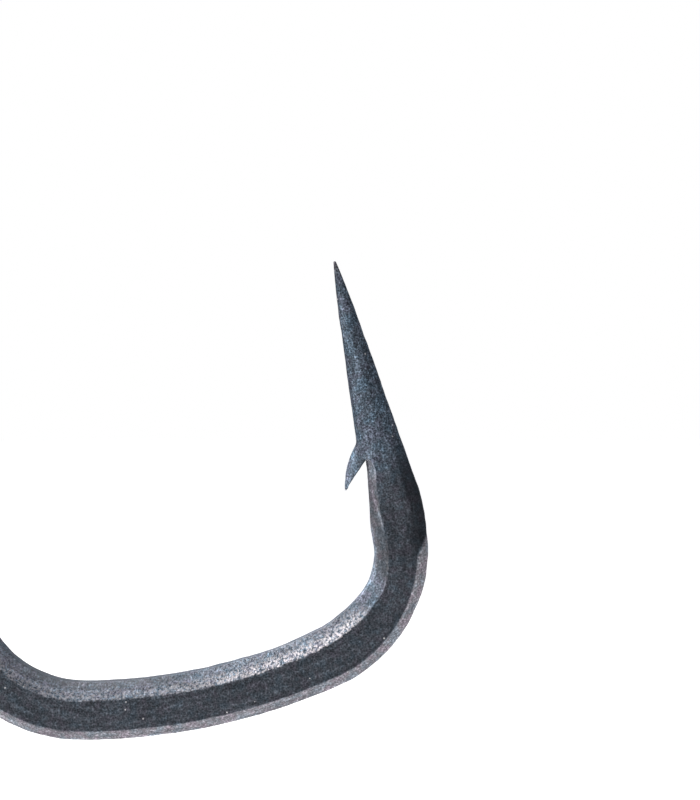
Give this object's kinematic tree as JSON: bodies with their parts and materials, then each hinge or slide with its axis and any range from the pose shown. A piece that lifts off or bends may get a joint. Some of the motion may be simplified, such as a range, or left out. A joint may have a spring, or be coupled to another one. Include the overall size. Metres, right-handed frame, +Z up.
{
  "type": "swivel meat hook",
  "caption": "Barbed, forged meat hook with a flattened bowl, turning on a swivel in a bow yoke that swings from a crook-ended rail hook.",
  "frame": {"origin": "the rail seat: the middle of the underside of the rail hook's crown, on the line that the load hangs on", "axes": "+Z up along the load line, +X towards the barbed point, Y across the plane that both hooks lie in"},
  "size_m": [0.1064, 0.0393, 0.377],
  "materials": {
    "forged_steel": "dark blue-grey forged scale, fine grained, half matt",
    "plated_steel": "satin zinc plate",
    "bronze": "turned bearing bronze, dulled"
  },
  "bodies": {
    "rail_hook": {"rail_hook": "forged_steel", "eye_bush": "bronze"},
    "yoke": {"swivel_yoke": "forged_steel", "clevis_pin": "plated_steel", "clevis_pin_washer": "plated_steel", "clevis_cotter": "plated_steel", "left_spacer": "bronze", "right_spacer": "bronze", "swivel_bush": "bronze", "grease_nipple": "plated_steel"},
    "hook": {"lower_hook": "forged_steel", "thrust_washer": "bronze", "nut_washer": "plated_steel", "castle_nut": "plated_steel", "nut_cotter": "plated_steel"}
  },
  "joints": [
    {"name": "yoke_swing", "type": "hinge", "parent": "rail_hook", "child": "yoke", "pos_m": [0, 0, -0.08664], "axis": [1, 0, 0], "range_deg": [-120, 120]},
    {"name": "hook_swivel", "type": "hinge", "parent": "yoke", "child": "hook", "pos_m": [0, 0, -0.13864], "axis": [0, 0, 1], "continuous": true}
  ]
}
